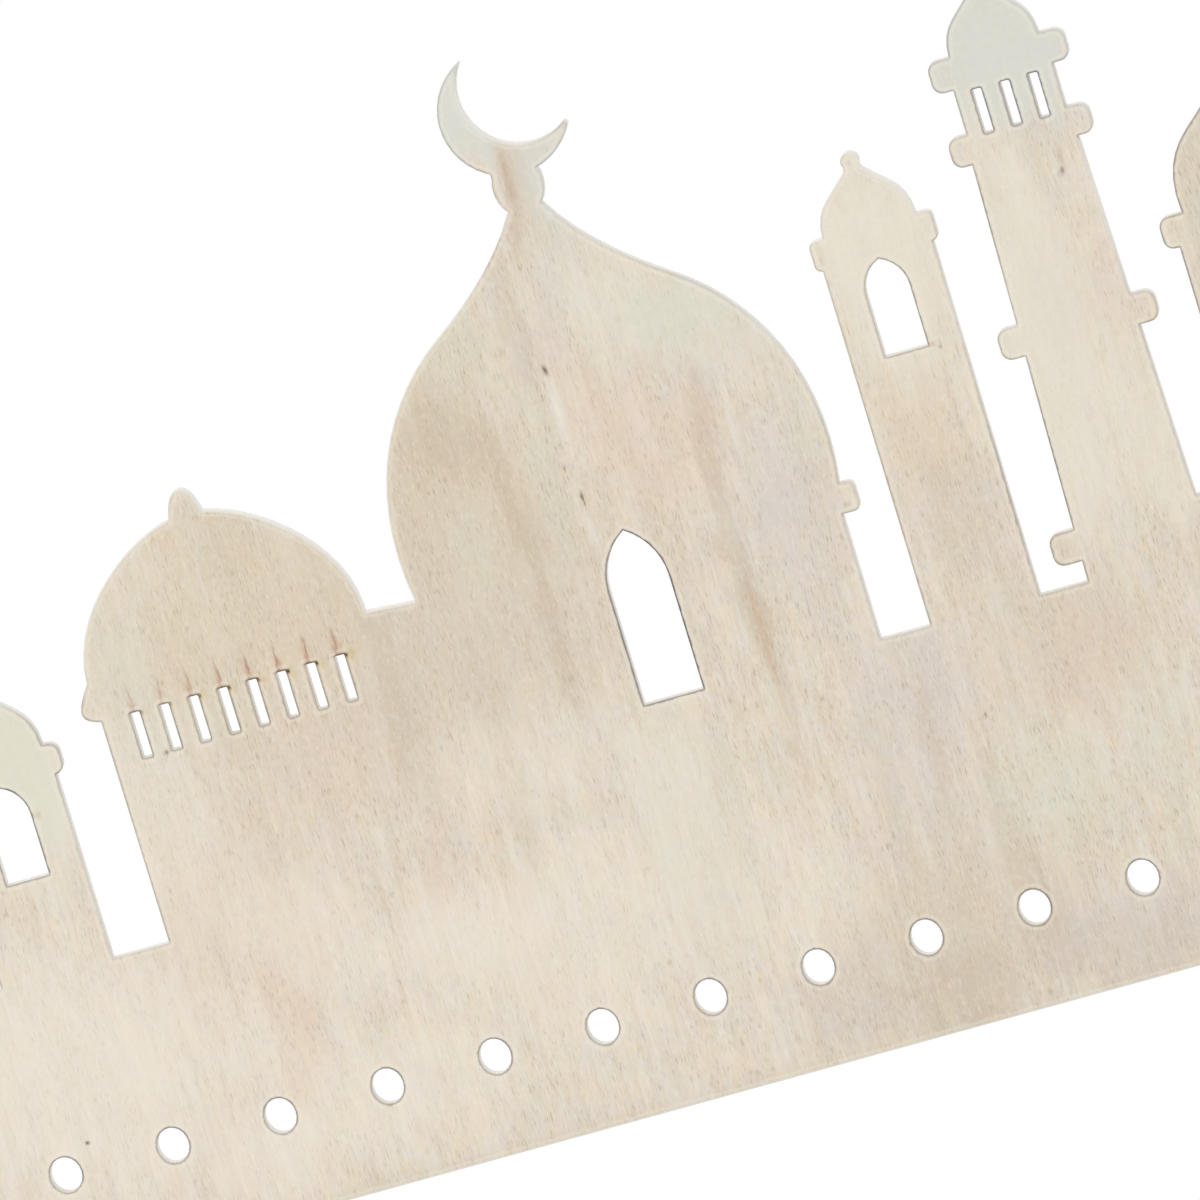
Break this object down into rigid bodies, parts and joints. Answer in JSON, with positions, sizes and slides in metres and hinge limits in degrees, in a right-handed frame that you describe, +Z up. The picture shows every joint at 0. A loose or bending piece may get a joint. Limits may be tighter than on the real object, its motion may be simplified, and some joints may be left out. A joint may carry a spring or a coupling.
{
  "type": "wooden hanging decoration",
  "caption": "Flat laser-cut plywood wall hanging shaped as a mosque skyline with domes, minarets and a crescent, with a row of string holes along its lower edge.",
  "frame": {"origin": "on the back face, at the middle of the sheet's length, 55 mm above its bottom edge, in the plane that lies on the wall", "axes": "+X along the sheet to the right as seen from the front, +Y out of the back face into the wall, +Z up; the shown face looks along -Y"},
  "size_m": [0.3803, 0.003, 0.2383],
  "materials": {
    "face_veneer": "raw pale birch or poplar veneer, matt, sanded",
    "core_ply": "raw core veneer with a browned laser-cut edge"
  },
  "bodies": {
    "root": {"front_veneer": "face_veneer", "core_ply": "core_ply", "back_veneer": "face_veneer"}
  },
  "joints": []
}
